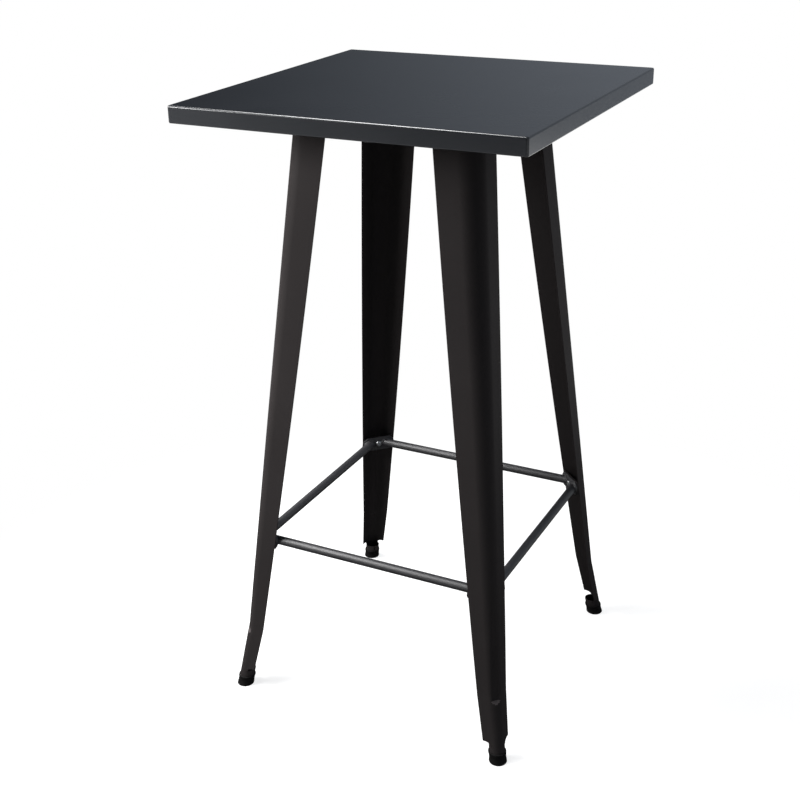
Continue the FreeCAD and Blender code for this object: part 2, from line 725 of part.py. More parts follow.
def make_nut():
    """A plain hex nut, from the origin down."""
    body = new_body("Nut")
    outline = body_sketch(body, "NutOutline")
    hexagon(outline, "nut_width")
    pad(body, outline, "nut_height", down=True)
    bore = body_sketch(body, "NutBore")
    circle(bore, "thread / 2 + thread_gap")
    pocket(body, bore, "nut_height")
    return body


def make_footrest_screws():
    """One screw a corner, through corner plate and bridge plate, with its nut behind."""
    outwards = Rotation(UP, Vector(-1, 0, 0))
    face = Vector(size("plate_face"), 0, size("footrest_height"))
    behind = face + Vector(size("plate_sheet") + size("bridge_sheet"), 0, 0)
    for name, piece, seat in (("footrest_screws", make_screw(), face),
                              ("footrest_nuts", make_nut(), behind)):
        group_at_corners(name, placed(name + "_seated", [piece], Placement(seat, outwards)))


def check_and_write():
    """Stop on any failed object or bad shape, then write one STEP file a piece."""
    doc.recompute()
    for item in doc.Objects:
        if "Invalid" in item.State or "Error" in item.State:
            raise RuntimeError("%s: %s" % (item.Name, item.State))
    os.makedirs("parts", exist_ok=True)
    for group in sub_parts:
        shape = group.Shape
        if shape.isNull() or not shape.isValid() or not shape.Solids:
            raise RuntimeError(group.Label + ": bad shape")
        shape.exportStep(os.path.join("parts", group.Label + ".step"))
        box = shape.BoundBox
        print("%-32s %d solid(s) %10.0f mm3  z %.1f to %.1f"
              % (group.Label, len(shape.Solids), shape.Volume, box.ZMin, box.ZMax))


make_table_top()
leg_hollow = make_legs()
make_rubber_feet()
make_frame_rails()
make_ribs()
make_bridge_plates(leg_hollow)
make_footrest_plates()
make_footrest_rods()
make_footrest_screws()
check_and_write()
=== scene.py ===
import json
import math
from collections import namedtuple

import bmesh
import bpy
from mathutils import Matrix, Quaternion, Vector


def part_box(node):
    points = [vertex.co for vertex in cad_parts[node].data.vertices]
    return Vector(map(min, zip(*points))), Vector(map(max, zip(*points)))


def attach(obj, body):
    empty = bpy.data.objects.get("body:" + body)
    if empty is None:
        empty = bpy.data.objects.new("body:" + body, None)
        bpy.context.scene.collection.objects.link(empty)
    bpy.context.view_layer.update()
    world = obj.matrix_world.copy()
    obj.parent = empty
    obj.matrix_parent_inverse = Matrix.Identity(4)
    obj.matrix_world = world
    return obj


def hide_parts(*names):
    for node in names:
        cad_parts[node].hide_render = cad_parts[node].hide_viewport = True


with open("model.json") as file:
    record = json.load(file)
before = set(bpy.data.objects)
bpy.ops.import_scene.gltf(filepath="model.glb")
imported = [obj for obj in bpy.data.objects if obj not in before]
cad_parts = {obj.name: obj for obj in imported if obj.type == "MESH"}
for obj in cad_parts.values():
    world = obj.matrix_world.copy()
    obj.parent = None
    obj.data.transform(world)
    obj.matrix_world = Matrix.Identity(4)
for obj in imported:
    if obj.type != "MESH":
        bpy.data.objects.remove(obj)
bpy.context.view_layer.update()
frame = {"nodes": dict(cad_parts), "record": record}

# A pub table in folded and pressed sheet steel, black powder coated.
# Metres, +Z up, the origin on the floor under the middle of the top.
# A corner piece is drawn once with its corner line on +X, and is then turned to its corner.

bl_info = {
    "name": "Pub table finish",
    "version": (1, 0, 0),
    "blender": (4, 5, 0),
    "location": "3D View > Sidebar > Pub Table",
    "description": "Sheet-metal surfaces, fixings, finishes and stage for a square pub table",
    "category": "Object",
}

MM = 0.001
# Turns from +X, in degrees.
CORNERS = {"front_left": -135, "front_right": -45, "back_right": 45, "back_left": 135}
SIDES = {"right": 0, "back": 90, "left": 180, "front": -90}
# Lengths of bought fixings, and the heights of the two bolts through each leg flange.
SCREW_LENGTH, NUT_HEIGHT, WASHER = 14 * MM, 5 * MM, 1.2 * MM
BOLT_HEIGHTS = (1087.3 * MM, 1071.3 * MM)
# Sheet held between a leg bolt's head and its washer, and where the bolts stand across a flange.
BOLT_GRIP, BOLT_SHARE = 4.1 * MM, 0.48


# Settings ---------------------------------------------------------------------------------

def length(name, millimetres, description):
    """A length setting, given in millimetres."""
    return bpy.props.FloatProperty(name=name, description=description, default=millimetres * MM,
                                   min=0.0, unit="LENGTH", precision=4)


def paint(name, colour, description):
    """A colour setting, given as an sRGB hex value."""
    return bpy.props.FloatVectorProperty(name=name, description=description, size=4,
                                         default=linear(colour), min=0.0, max=1.0,
                                         subtype="COLOR")


def share(name, value, description):
    """A setting from 0 to 1."""
    return bpy.props.FloatProperty(name=name, description=description, default=value,
                                   min=0.0, max=1.0, subtype="FACTOR")


def strength(name, value, description, unit="NONE"):
    """A light's power in watts, or a plain brightness."""
    return bpy.props.FloatProperty(name=name, description=description, default=value, min=0.0,
                                   unit=unit)


def linear(hex_colour):
    """An sRGB hex colour as linear RGBA."""
    channels = [int(hex_colour[i:i + 2], 16) / 255 for i in (1, 3, 5)]
    return [c / 12.92 if c <= 0.04045 else ((c + 0.055) / 1.055) ** 2.4 for c in channels] + [1.0]


class TableSizes(bpy.types.PropertyGroup):
    """Sizes of the sheet-metal work."""
    top_sheet: length("Top sheet", 1.2, "Sheet of the top")
    top_corner: length("Top corner", 4.0, "Corner radius of the top in plan")
    top_bend: length("Top bend", 3.0, "Outer bend radius along the edge of the top")
    lip_bend: length("Lip bend", 1.8, "Outer bend radius at the foot of the skirt")
    lip_width: length("Lip", 12.0, "Lip turned in at the foot of the skirt")
    leg_sheet: length("Leg sheet", 1.5, "Sheet of the legs")
    leg_top: length("Leg top", 1096.3, "Floor to the top end of a leg")
    leg_top_reach: length("Top reach", 216.0, "Middle of the table to a leg's corner, at its top")
    leg_top_round: length("Top bend of leg", 36.0, "Bend radius of a leg at its top end")
    leg_top_width: length("Top width of leg", 107.0, "Leg across both flanges at its top end")
    leg_bow: length("Bow", 4.8, "Extra width of a leg at mid height")
    kick_height: length("Kick height", 128.0, "Height at which a leg kicks outwards")
    kick_reach: length("Kick reach", 352.5, "Middle of the table to a leg's corner, at the kick")
    kick_round: length("Kick bend", 19.0, "Bend radius of a leg at the kick")
    kick_width: length("Kick width", 54.5, "Leg across both flanges at the kick")
    flange_end: length("Flange end", 40.0, "Height at which the flanges stop")
    flange_end_width: length("Flange end width", 48.0, "Leg across both flanges where they stop")
    notch_round: length("Notch", 7.0, "Radius in the notch between flange and rolled foot")
    foot_reach: length("Foot reach", 368.0, "Middle of the table to a foot, on the floor")
    foot_tube: length("Foot tube", 28.0, "Diameter of the rolled foot")
    seam_gap: length("Foot seam", 1.6, "Gap where the rolled foot's edges meet")
    groove_top: length("Groove top", 330.0, "Height at which the pressed groove fades out")
    groove_foot: length("Groove foot", 112.0, "Height at which the pressed groove ends")
    groove_depth: length("Groove depth", 3.5, "Depth of the pressed groove at its lower end")
    groove_round: length("Groove radius", 16.0, "Radius of the pressed groove")
    groove_end: length("Groove end", 7.0, "Radius of the pressed groove's lower end")
    rubber_height: length("Rubber height", 20.0, "Height of a rubber foot")
    rubber_floor: length("Rubber floor", 4.0, "Rubber under the rolled foot")
    rubber_wall: length("Rubber wall", 1.8, "Wall of a rubber foot")
    plate_width: length("Plate width", 64.0, "Corner plate of the footrest, across")
    plate_height: length("Plate height", 28.0, "Corner plate and bridge plate, upright")
    plate_sheet: length("Plate sheet", 3.0, "Sheet of the corner plates")
    plate_round: length("Plate corner", 12.0, "Corner radius of the corner plates")
    bridge_sheet: length("Bridge sheet", 2.5, "Sheet of the bridge plates")
    bridge_round: length("Bridge corner", 9.0, "Radius of a bridge plate's lower corners")
    rod_diameter: length("Rod", 16.0, "Diameter of a footrest rod")
    bead: length("Weld bead", 1.7, "Radius of a weld bead")
    bead_pitch: length("Bead ripple", 2.2, "Spacing of the ripples in a weld bead")
    thread: length("Thread", 6.0, "Thread diameter of the screws")
    head_width: length("Head width", 12.0, "Diameter of a button head")
    head_height: length("Head height", 3.3, "Height of a button head")
    nut_width: length("Nut width", 10.0, "Nut across its flats")


class TableFinish(bpy.types.PropertyGroup):
    """Colours and gloss of the table's surfaces."""
    top_colour: paint("Top colour", "#15181d", "Powder coat on the top")
    frame_colour: paint("Frame colour", "#242323", "Powder coat on rails and ribs")
    leg_colour: paint("Leg colour", "#2d2a2a", "Powder coat on legs and bridge plates")
    footrest_colour: paint("Footrest colour", "#1b1a1e", "Powder coat on the footrest")
    zinc_colour: paint("Zinc colour", "#c9cbcd", "Zinc plate on screws and nuts")
    rubber_colour: paint("Rubber colour", "#121111", "Rubber of the feet")
    coat_roughness: share("Coat roughness", 0.4, "Roughness of the powder coat")
    peel: share("Orange peel", 0.12, "Strength of the powder coat's orange peel")


class TableStage(bpy.types.PropertyGroup):
    """Camera and light."""
    lens: bpy.props.FloatProperty(name="Lens", description="Focal length on a 36 mm sensor",
                                  default=57.28, min=10.0, unit="CAMERA")
    overhead: strength("Overhead light", 150.0, "Soft box over the table", "POWER")
    key: strength("Key light", 48.0, "Soft box in front, to the left", "POWER")
    fill: strength("Fill light", 14.0, "Weak soft box behind, to the right", "POWER")
    room_dark: strength("Room, dark side", 0.0, "Brightness of the room on the left")
    room_light: strength("Room, light side", 0.31, "Brightness of the room on the right")


# Nodes ------------------------------------------------------------------------------------

def add(tree, kind, links=None, **settings):
    """Add a node: settings are its properties, links its inputs as values or sockets."""
    node = tree.nodes.new(kind)
    for name, value in settings.items():
        setattr(node, name, value)
    for key, value in (links or {}).items():
        if isinstance(value, bpy.types.NodeSocket):
            tree.links.new(value, node.inputs[key])
        else:
            node.inputs[key].default_value = value
    return node


def geometry_tree(name, inputs):
    """A geometry tree with named inputs, and its Group Input node."""
    tree = bpy.data.node_groups.new(name, "GeometryNodeTree")
    tree.interface.new_socket("Geometry", in_out="OUTPUT", socket_type="NodeSocketGeometry")
    tree.interface.new_socket("Geometry", in_out="INPUT", socket_type="NodeSocketGeometry")
    for label, kind in inputs:
        tree.interface.new_socket(label, in_out="INPUT", socket_type="NodeSocket" + kind)
    return tree, add(tree, "NodeGroupInput").outputs


def end_tree(tree, geometry, material):
    """End a geometry tree in real mesh with its material."""
    real = add(tree, "GeometryNodeRealizeInstances", {"Geometry": geometry})
    dressed = add(tree, "GeometryNodeSetMaterial",
                  {"Geometry": real.outputs[0], "Material": material})
    add(tree, "NodeGroupOutput", {"Geometry": dressed.outputs[0]})
    return tree


def run_tree(item, tree, **values):
    """Put a geometry tree on an object, its inputs set by name."""
    modifier = item.modifiers.new(tree.name, "NODES")
    modifier.node_group = tree
    wanted = {name.replace("_", " "): value for name, value in values.items()}
    for socket in tree.interface.items_tree:
        if socket.in_out == "INPUT" and socket.name.lower() in wanted:
            modifier[socket.identifier] = wanted.pop(socket.name.lower())
    if wanted:
        raise RuntimeError("%s has no input %s" % (tree.name, sorted(wanted)))


# Meshes -----------------------------------------------------------------------------------

def new_object(name, points, faces, edges=()):
    """A smooth-shaded mesh object."""
    mesh = bpy.data.meshes.new(name)
    mesh.from_pydata([tuple(point) for point in points], edges, faces)
    mesh.polygons.foreach_set("use_smooth", [True] * len(mesh.polygons))
    item = bpy.data.objects.new(name, mesh)
    bpy.context.scene.collection.objects.link(item)
    return item


def grid_faces(rows, first=0, closed=False):
    """Faces between rows of points, each row a range of indices."""
    faces = []
    for lower, upper in zip(rows, rows[1:]):
        count = len(lower)
        for j in range(count if closed else count - 1):
            k = (j + 1) % count
            faces.append((first + lower[j], first + lower[k], first + upper[k], first + upper[j]))
    return faces


def rings_object(name, rings, sharp=180, looped=False):
    """An object through rings of points, capped at both ends or looped back.

    Each ring runs anticlockwise, seen from the end that the rings lead to. Edges that turn by
    more than the sharp angle, in degrees, stay sharp.
    """
    sides = len(rings[0])
    rows = [range(i * sides, (i + 1) * sides) for i in range(len(rings))]
    faces = grid_faces(rows + rows[:1] if looped else rows, closed=True)
    if not looped:
        faces += [tuple(reversed(rows[0])), tuple(rows[-1])]
    item = new_object(name, [point for ring in rings for point in ring], faces)
    item.data.set_sharp_from_angle(angle=math.radians(sharp))
    return item


def merged(item):
    """Join the points of a mesh that fall together."""
    work = bmesh.new()
    work.from_mesh(item.data)
    bmesh.ops.remove_doubles(work, verts=work.verts, dist=0.001 * MM)
    work.to_mesh(item.data)
    work.free()
    return item


def baked(item):
    """Turn an object and its modifiers into a plain mesh."""
    bpy.context.view_layer.update()
    evaluated = item.evaluated_get(bpy.context.evaluated_depsgraph_get())
    mesh = bpy.data.meshes.new_from_object(evaluated)
    mesh.name = item.name
    old = item.data
    item.modifiers.clear()
    item.data = mesh
    bpy.data.meshes.remove(old)
    return item


def finished(item, slot, *nodes):
    """Set a finished piece on the root body, and hide the CAD nodes that it stands for. Its slot
    is not used.
    """
    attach(item, "root")
    if nodes:
        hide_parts(*nodes)


def softened(item, width, angle=30):
    """Round the edges of an object that turn by more than an angle, in degrees."""
    edge = item.modifiers.new("edge", "BEVEL")
    edge.width = width
    edge.segments = 2
    edge.limit_method = "ANGLE"
    edge.angle_limit = math.radians(angle)


def evenly_shaded(item):
    """Let the large faces lead the shading round small bends."""
    weighted = item.modifiers.new("even shading", "WEIGHTED_NORMAL")
    weighted.weight = 100
    return weighted


def spin(degrees):
    """A turn about the table's upright axis."""
    return Matrix.Rotation(math.radians(degrees), 3, "Z")


def arc(centre, radius, begin, end, steps):
    """Points (across, up) on an arc, angles in degrees."""
    angles = [math.radians(begin + (end - begin) * i / steps) for i in range(steps + 1)]
    return [(centre[0] + radius * math.cos(a), centre[1] + radius * math.sin(a)) for a in angles]


def circle(radius, sides, centre=(0.0, 0.0)):
    """Points (across, up) round a circle."""
    return arc(centre, radius, 0, 360, sides)[:-1]


def round_ring(radius, height, sides, centre=(0.0, 0.0)):
    """A level ring of points."""
    return [Vector((x, y, height)) for x, y in circle(radius, sides, centre)]


# Finishes ---------------------------------------------------------------------------------

FINISHES = {}


def new_material(name):
    """An empty node material kept under its slot name, with its Object coordinates."""
    material = bpy.data.materials.new(name)
    material.use_nodes = True
    tree = material.node_tree
    tree.nodes.clear()
    FINISHES[name] = material
    return tree, add(tree, "ShaderNodeTexCoord").outputs["Object"]


def tinted(colour, factor):
    """A linear colour made lighter or darker."""
    return [c * factor for c in colour[:3]] + [1.0]


def powder_coat(name, colour, roughness, peel, level, skin=0.0, ior=1.5):
    """Polyester powder coat baked on sheet steel: a satin black skin over slight orange peel.

    level is how much the paint itself mirrors, skin how much its clear outer skin does.
    Faces within a folded section get painted shade, a darker copy of the colour, and a rougher
    finish.
    """
    tree, place = new_material(name)
    # Orange peel on thin powder coat is 1 to 2 mm across; drawn at 2.4 mm so that it shows.
    ripple = add(tree, "ShaderNodeTexNoise",
                 {"Vector": place, "Scale": 1 / (2.4 * MM), "Detail": 2.0, "Roughness": 0.5})
    # Powder lies a little thicker here and there, over a hand's breadth.
    cloud = add(tree, "ShaderNodeTexNoise",
                {"Vector": place, "Scale": 1 / (110 * MM), "Detail": 3.0, "Roughness": 0.55})
    tone = add(tree, "ShaderNodeMixRGB", {"Fac": cloud.outputs["Fac"],
                                          "Color1": tinted(colour, 0.9),
                                          "Color2": tinted(colour, 1.12)})
    gloss = add(tree, "ShaderNodeMapRange",
                {"Value": cloud.outputs["Fac"], "From Min": 0.3, "From Max": 0.7,
                 "To Min": roughness - 0.03, "To Max": roughness + 0.03})
    # Painted shade: faces within a leg's fold are marked to be darkened, where less light reaches
    # them.
    inside = add(tree, "ShaderNodeAttribute", attribute_name="inside").outputs["Fac"]
    # Painted highlight: the lower end of a leg's pressed groove gets a much lighter colour,
    # standing in for the glint of the lamp above.
    thin = add(tree, "ShaderNodeAttribute", attribute_name="thin").outputs["Fac"]
    glint = add(tree, "ShaderNodeMixRGB", {"Fac": thin, "Color1": tone.outputs[0],
                                          "Color2": tinted(colour, 3.2)})
    # Painted shade: within a fold the colour is darkened to three quarters.
    shade_tone = add(tree, "ShaderNodeMixRGB", {"Fac": inside, "Color1": glint.outputs[0],
                                          "Color2": tinted(colour, 0.75)})
    dull_gloss = add(tree, "ShaderNodeMath", {0: inside, 1: 0.25, 2: gloss.outputs[0]},
                     operation="MULTIPLY_ADD")
    bump = add(tree, "ShaderNodeBump",
               {"Height": ripple.outputs["Fac"], "Strength": peel, "Distance": 0.2 * MM})
    shader = add(tree, "ShaderNodeBsdfPrincipled",
                 {"Base Color": shade_tone.outputs[0], "Roughness": dull_gloss.outputs[0],
                  "Normal": bump.outputs[0], "IOR": ior, "Specular IOR Level": level,
                  "Coat Weight": skin, "Coat Roughness": 0.18, "Coat IOR": 1.5})
    add(tree, "ShaderNodeOutputMaterial", {"Surface": shader.outputs[0]})


def zinc_plate(name, colour, roughness):
    """Bright zinc plate on steel: a clean pale metal, faintly cloudy, that mirrors softly."""
    tree, place = new_material(name)
    cloud = add(tree, "ShaderNodeTexNoise",
                {"Vector": place, "Scale": 1 / (2 * MM), "Detail": 2.0, "Roughness": 0.6})
    gloss = add(tree, "ShaderNodeMapRange",
                {"Value": cloud.outputs["Fac"], "From Min": 0.3, "From Max": 0.7,
                 "To Min": roughness - 0.05, "To Max": roughness + 0.08})
    tone = add(tree, "ShaderNodeMixRGB", {"Fac": cloud.outputs["Fac"],
                                          "Color1": tinted(colour, 0.9),
                                          "Color2": tinted(colour, 1.0)})
    shader = add(tree, "ShaderNodeBsdfPrincipled",
                 {"Base Color": tone.outputs[0], "Roughness": gloss.outputs[0], "Metallic": 1.0})
    add(tree, "ShaderNodeOutputMaterial", {"Surface": shader.outputs[0]})


def moulded_rubber(name, colour, roughness):
    """Moulded black rubber: dull, with the fine grain of a sparked mould."""
    tree, place = new_material(name)
    # Mould grain is about 0.3 mm; drawn at 0.8 mm so that it shows.
    grain = add(tree, "ShaderNodeTexNoise",
                {"Vector": place, "Scale": 1 / (0.8 * MM), "Detail": 3.0, "Roughness": 0.6})
    tone = add(tree, "ShaderNodeMixRGB", {"Fac": grain.outputs["Fac"],
                                          "Color1": tinted(colour, 0.8),
                                          "Color2": tinted(colour, 1.1)})
    bump = add(tree, "ShaderNodeBump",
               {"Height": grain.outputs["Fac"], "Strength": 0.4, "Distance": 0.2 * MM})
    shader = add(tree, "ShaderNodeBsdfPrincipled",
                 {"Base Color": tone.outputs[0], "Roughness": roughness,
                  "Normal": bump.outputs[0], "Specular IOR Level": 0.2})
    add(tree, "ShaderNodeOutputMaterial", {"Surface": shader.outputs[0]})


class PUBTABLE_OT_finishes(bpy.types.Operator):
    """Make the finishes and give each CAD piece its own"""
    bl_idname = "pubtable.finishes"
    bl_label = "Finishes"

    def execute(self, context):
        finish = context.scene.table_finish
        rough, peel = finish.coat_roughness, finish.peel
        matt = rough + 0.15
        powder_coat("top_powder_coat", finish.top_colour, rough, peel, level=0.2, skin=1.0)
        powder_coat("frame_powder_coat", finish.frame_colour, matt, peel, level=0.03)
        powder_coat("leg_powder_coat", finish.leg_colour, matt, peel, level=0.03)
        powder_coat("footrest_powder_coat", finish.footrest_colour, matt, peel, level=0.7, ior=1.7)
        zinc_plate("zinc_plated_steel", finish.zinc_colour, roughness=0.28)
        moulded_rubber("foot_rubber", finish.rubber_colour, roughness=0.72)
        for row in frame["record"]["subparts"]:
            for slot in frame["nodes"][row["node"]].material_slots:
                slot.material = FINISHES[row["material_slot"]]
        return {"FINISHED"}


# Top --------------------------------------------------------------------------------------

class PUBTABLE_OT_top(bpy.types.Operator):
    """Fold the top: one sheet with rounded bends, its skirt turned in to a lip"""
    bl_idname = "pubtable.top"
    bl_label = "Top"

    def execute(self, context):
        s = context.scene.table_sizes
        low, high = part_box("table_top")
        sheet, bend, lip_bend = s.top_sheet, s.top_bend, s.lip_bend
        # The profile, as (distance in from the edge, height), from the middle of the upper
        # face round the skirt and lip to the middle of the lower face. Each face keeps a plain
        # band along its bend, so that the bend's shading ends there.
        plain = bend + 9 * MM
        lip = sheet + s.lip_width
        upper, lower = (bend, high.z - bend), (lip_bend, low.z + lip_bend)
        profile = [(plain, high.z), *arc(upper, bend, 90, 180, 6),
                   *arc(lower, lip_bend, 180, 270, 5), (lip, low.z),
                   (lip, low.z + sheet), *arc(lower, lip_bend - sheet, 270, 180, 3),
                   *arc(upper, bend - sheet, 180, 90, 4), (plain, high.z - sheet)]
        rings = [self.ring(high.x - inset, max(s.top_corner - inset, 0.6 * MM), height)
                 for inset, height in reversed(profile)]
        item = rings_object("top_pan", rings, sharp=50)
        item.data.materials.append(FINISHES["top_powder_coat"])
        evenly_shaded(item).keep_sharp = True
        finished(baked(item), "top_powder_coat", "table_top")
        return {"FINISHED"}

    def ring(self, half, corner, height):
        """A level square with rounded corners, anticlockwise from above."""
        middle = half - corner
        return [spin(turn) @ Vector((x, y, height)) for turn in (0, 90, 180, 270)
                for x, y in arc((middle, middle), corner, 0, 90, 10)]


# Legs -------------------------------------------------------------------------------------

# A section across a leg: the middle of its bend, the direction out, the bend's radius, the
# angle from there to where each flange starts, and the half width across both flanges.
Station = namedtuple("Station", "centre out radius angle half_width")


class LegForm:
    """The folded form of a leg, its corner line on +X."""

    # Steps round the bend, along the inner and outer part of a flange, and round and up a wing
    # of the rolled foot.
    ARC, INNER, OUTER, WING, TUBE = 20, 4, 4, 16, 8
    # Rows of the notch, the kicked part, the part with the groove, which is fine, and the rest.
    NOTCH, KICKED, GROOVED, PLAIN = 6, 40, 100, 24
    # The share of the run at which the flange edges, the lowest points of a row, reach the top.
    TOP_SHARE = 1.0062

    def __init__(self, s):
        self.s = s
        draw = s.kick_reach - s.leg_top_reach
        rise = s.leg_top - s.kick_height
        run = math.hypot(draw, rise)
        cone = math.asin((s.leg_top_round - s.kick_round) / run)
        lean = math.atan2(draw, rise) + cone
        self.half_angle = math.atan(math.cos(lean)) + math.asin(
            math.tan(cone) * math.sin(lean) / math.sqrt(1 + math.cos(lean) ** 2))
        self.out = Vector((math.cos(lean), 0, math.sin(lean)))
        self.axis = Vector((-math.sin(lean), 0, math.cos(lean)))
        self.run = run * math.cos(cone)
        self.start = Vector((s.kick_reach, 0, s.kick_height)) - s.kick_round * self.out
        self.slope = (s.foot_reach + s.foot_tube / 2 - s.kick_reach) / s.kick_height
        self.rim = s.flange_end - s.notch_round

    def upper(self, t):
        """The station above the kick, from t = 0, to the top end, t = 1."""
        s = self.s
        width = s.kick_width + t * (s.leg_top_width - s.kick_width) + 4 * t * (1 - t) * s.leg_bow
        return Station(self.start + t * self.run * self.axis, self.out,
                       s.kick_round + t * (s.leg_top_round - s.kick_round), self.half_angle,
                       width / 2)

    def lower(self, v):
        """The station from the rim of the rolled foot, v = 0, to the kick, v = 1."""
        s = self.s
        share_down = (s.kick_height - self.rim) / (s.kick_height - s.flange_end)
        rim_width = s.kick_width + (s.flange_end_width - s.kick_width) * share_down
        foot = self.tube_centre(self.rim)
        kick = self.upper(0.0)
        out = Vector((1, 0, 0)).lerp(self.out, v).normalized()
        return Station(foot.lerp(kick.centre, v), out,
                       s.foot_tube / 2 * (1 - v) + kick.radius * v,
                       math.radians(45) * (1 - v) + self.half_angle * v,
                       rim_width / 2 * (1 - v) + kick.half_width * v)

    def tube_centre(self, height):
        """The middle of the rolled foot at a height."""
        return Vector((self.s.foot_reach - self.slope * height, 0, height))

    def edge(self, station):
        """The length of flange from the bend to its edge."""
        across = station.half_width - station.radius * math.sin(station.angle)
        return across / math.cos(station.angle)

    def bend_row(self, station):
        """Points across the bend."""
        centre, out, radius, angle, _ = station
        turns = [angle * (2 * k / self.ARC - 1) for k in range(self.ARC + 1)]
        return [centre + radius * (math.cos(a) * out + Vector((0, math.sin(a), 0))) for a in turns]

    def flange_point(self, station, hand, along):
        """The point on a flange at a length from the bend."""
        centre, out, radius, angle, _ = station
        deep = radius * math.cos(angle) - along * math.sin(angle)
        wide = radius * math.sin(angle) + along * math.cos(angle)
        return centre + deep * out + Vector((0, hand * wide, 0))

    def stations(self):
        """Each row's station with the length of its inner flange and of its whole flange."""
        s = self.s
        middle = s.foot_tube / 2 + s.notch_round
        kick_rise = s.kick_height - self.rim
        rows = []
        for step in range(self.NOTCH + 1):
            angle = math.radians(90 * step / self.NOTCH)
            height = s.notch_round * math.sin(angle)
            station = self.lower(height / kick_rise)
            reach = middle - s.notch_round * math.cos(angle)
            inner = self.edge(station._replace(half_width=reach))
            rows.append((station, inner, self.edge(station) if step == self.NOTCH else None))
        ratio = rows[-1][1] / rows[-1][2]
        first = s.notch_round / kick_rise
        above = [self.lower(first + (1 - first) * (k + 1) / self.KICKED)
                 for k in range(self.KICKED)]
        # The fine rows go on a little past the groove.
        past = 30 * MM
        groove_share = (s.groove_top + past - s.kick_height) / (s.leg_top - s.kick_height)
        above += [self.upper(groove_share * (k + 1) / self.GROOVED) for k in range(self.GROOVED)]
        above += [self.upper(groove_share + (self.TOP_SHARE - groove_share) * (k + 1) / self.PLAIN)
                  for k in range(self.PLAIN)]
        for station in above:
            rows.append((station, ratio * self.edge(station), self.edge(station)))
        return rows

    def points_and_faces(self):
        """The outer face of a leg, in patches: its middle, its flanges and its rolled foot."""
        points, faces = [], []

        def patch(rows):
            first = len(points)
            count = len(rows[0])
            indices = [range(i * count, (i + 1) * count) for i in range(len(rows))]
            for row in rows:
                points.extend(row)
            faces.extend(grid_faces(indices, first))

        rows = self.stations()
        middle_rows = []
        for station, inner, _ in rows:
            left = [self.flange_point(station, -1, inner * (self.INNER - k) / self.INNER)
                    for k in range(self.INNER)]
            right = [self.flange_point(station, 1, inner * (k + 1) / self.INNER)
                     for k in range(self.INNER)]
            middle_rows.append(left + self.bend_row(station) + right)
        patch(self.level_top(middle_rows))
        for hand in (-1, 1):
            wing = []
            for station, inner, edge in rows:
                if edge is None:
                    continue
                steps = [inner + (edge - inner) * k / self.OUTER for k in range(self.OUTER + 1)]
                row = [self.flange_point(station, hand, along) for along in steps]
                wing.append(row if hand > 0 else list(reversed(row)))
            patch(self.level_top(wing))
        self.add_tube(patch)
        return points, faces

    def level_top(self, rows):
        """Bring the last row level with the leg's top end, along the rows' own lines."""
        top = self.s.leg_top
        rows[-1] = [below.lerp(above, (top - below.z) / (above.z - below.z))
                    for below, above in zip(rows[-2], rows[-1])]
        return rows

    def add_tube(self, patch):
        """The rolled foot: a strip that carries on down from the bend, and its two wings."""
        s = self.s
        radius = s.foot_tube / 2
        seam = math.pi - s.seam_gap / 2 / radius
        quarter = math.radians(45)
        heights = [s.rubber_floor + (self.rim - s.rubber_floor) * k / self.TUBE
                   for k in range(self.TUBE + 1)]
        spans = [(-quarter, quarter, self.ARC), (quarter, seam, self.WING),
                 (-seam, -quarter, self.WING)]
        for begin, end, steps in spans:
            rows = []
            for height in heights:
                centre = self.tube_centre(height)
                turns = [begin + (end - begin) * k / steps for k in range(steps + 1)]
                rows.append([centre + radius * Vector((math.cos(a), math.sin(a), 0))
                             for a in turns])
            patch(rows)


